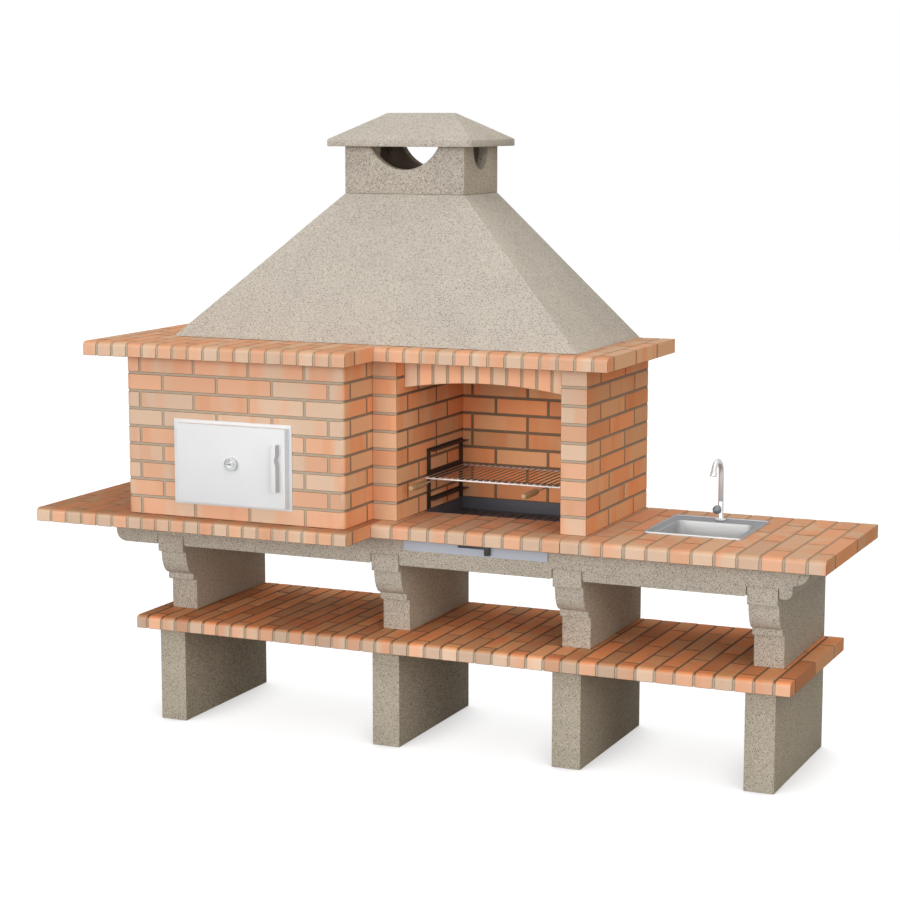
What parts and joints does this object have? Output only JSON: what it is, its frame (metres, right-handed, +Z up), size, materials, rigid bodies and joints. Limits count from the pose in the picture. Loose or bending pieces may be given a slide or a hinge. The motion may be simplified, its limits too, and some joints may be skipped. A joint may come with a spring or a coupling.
{
  "type": "outdoor masonry barbecue",
  "caption": "Brick and concrete outdoor barbecue with a closed oven, an open charcoal grill under a hood and chimney, and a worktop with a sink and tap.",
  "frame": {"origin": "centre of the footprint of the bounding box, on the ground", "axes": "+Z up, the front with the oven door and the grill faces -Y, and +X is the viewer's right when facing the front, towards the sink"},
  "size_m": [2.996, 1.014, 2.3327],
  "materials": {
    "cast_concrete": "cast speckled grey-beige concrete, matt",
    "light_concrete": "cast light grey-beige concrete, matt",
    "facing_brick": "sand and pinkish orange facing bricks with recessed beige joints",
    "firebrick": "plain firebrick, matt",
    "door_enamel": "white stove enamel, satin",
    "handle_steel": "satin steel strip",
    "drawer_steel": "bluish galvanised sheet steel",
    "dark_steel": "dark heat-proof coated sheet steel, matt",
    "black_steel": "black painted steel, satin",
    "rack_chrome": "chromed steel wire and rod",
    "grip_wood": "turned light wood, oiled",
    "stainless_steel": "satin stainless sheet",
    "tap_chrome": "polished chrome plate",
    "knob_plastic": "dark grey moulded ball knob",
    "dial_white": "light grey printed dial face without letters",
    "dial_glass": "clear flat glass",
    "needle_black": "black pointer"
  },
  "bodies": {
    "masonry": {"lower_leg_1": "cast_concrete", "lower_leg_2": "cast_concrete", "lower_leg_3": "cast_concrete", "lower_leg_4": "cast_concrete", "lower_shelf": "facing_brick", "upper_leg_1": "cast_concrete", "upper_leg_2": "cast_concrete", "upper_leg_3": "cast_concrete", "upper_leg_4": "cast_concrete", "support_slab_left": "cast_concrete", "support_slab_middle": "cast_concrete", "support_slab_right": "cast_concrete", "worktop_oven": "facing_brick", "worktop_grill": "facing_brick", "worktop_sink": "facing_brick", "oven_front_wall": "facing_brick", "oven_left_wall": "facing_brick", "oven_right_wall": "facing_brick", "oven_back_wall": "facing_brick", "oven_floor": "firebrick", "oven_vault": "firebrick", "oven_vault_back": "firebrick", "oven_flue": "dark_steel", "grill_left_wall": "facing_brick", "grill_right_wall": "facing_brick", "grill_back_wall": "facing_brick", "grill_lintel": "facing_brick", "oven_door_frame": "door_enamel", "cornice_oven": "facing_brick", "cornice_grill": "facing_brick", "hood": "light_concrete", "chimney_stack": "light_concrete", "chimney_cap": "light_concrete", "ember_tray": "dark_steel", "rack_support_left": "black_steel", "rack_support_right": "black_steel", "rack_screw_left_front": "black_steel", "rack_screw_left_back": "black_steel", "rack_screw_right_front": "black_steel", "rack_screw_right_back": "black_steel", "sink_bowl": "stainless_steel", "sink_waste": "stainless_steel", "tap_body": "tap_chrome", "tap_nut": "tap_chrome"},
    "oven_door": {"oven_door": "door_enamel", "door_inner_panel": "drawer_steel", "door_handle": "handle_steel", "thermometer_case": "tap_chrome", "thermometer_dial": "dial_white", "thermometer_glass": "dial_glass"},
    "thermometer_needle": {"thermometer_needle": "needle_black"},
    "grill_rack": {"grill_rack": "rack_chrome", "rack_grip_left": "grip_wood", "rack_grip_right": "grip_wood"},
    "ash_drawer": {"ash_drawer_box": "drawer_steel", "ash_drawer_front": "drawer_steel", "ash_drawer_handle": "black_steel"},
    "tap_spout": {"tap_spout": "tap_chrome"},
    "tap_knob": {"tap_knob": "knob_plastic"}
  },
  "joints": [
    {"name": "oven_door_hinge", "type": "hinge", "parent": "masonry", "child": "oven_door", "pos_m": [-0.902, -0.4496, 0.9185], "axis": [0, 0, -1], "range_deg": [0, 110]},
    {"name": "thermometer_needle_turn", "type": "hinge", "parent": "oven_door", "child": "thermometer_needle", "pos_m": [-0.662, -0.477, 1.071], "axis": [0, 1, 0], "range_deg": [0, 250]},
    {"name": "grill_rack_slide", "type": "slide", "parent": "masonry", "child": "grill_rack", "axis": [0, -1, 0], "range_m": [0, 0.25]},
    {"name": "ash_drawer_slide", "type": "slide", "parent": "masonry", "child": "ash_drawer", "axis": [0, -1, 0], "range_m": [0, 0.3]},
    {"name": "tap_spout_swivel", "type": "hinge", "parent": "masonry", "child": "tap_spout", "pos_m": [0.952, 0.294, 0.929], "axis": [0, 0, 1], "range_deg": [-70, 70]},
    {"name": "tap_knob_turn", "type": "hinge", "parent": "masonry", "child": "tap_knob", "pos_m": [0.952, 0.294, 0.9038], "axis": [0, -1, 0], "range_deg": [0, 90]}
  ]
}
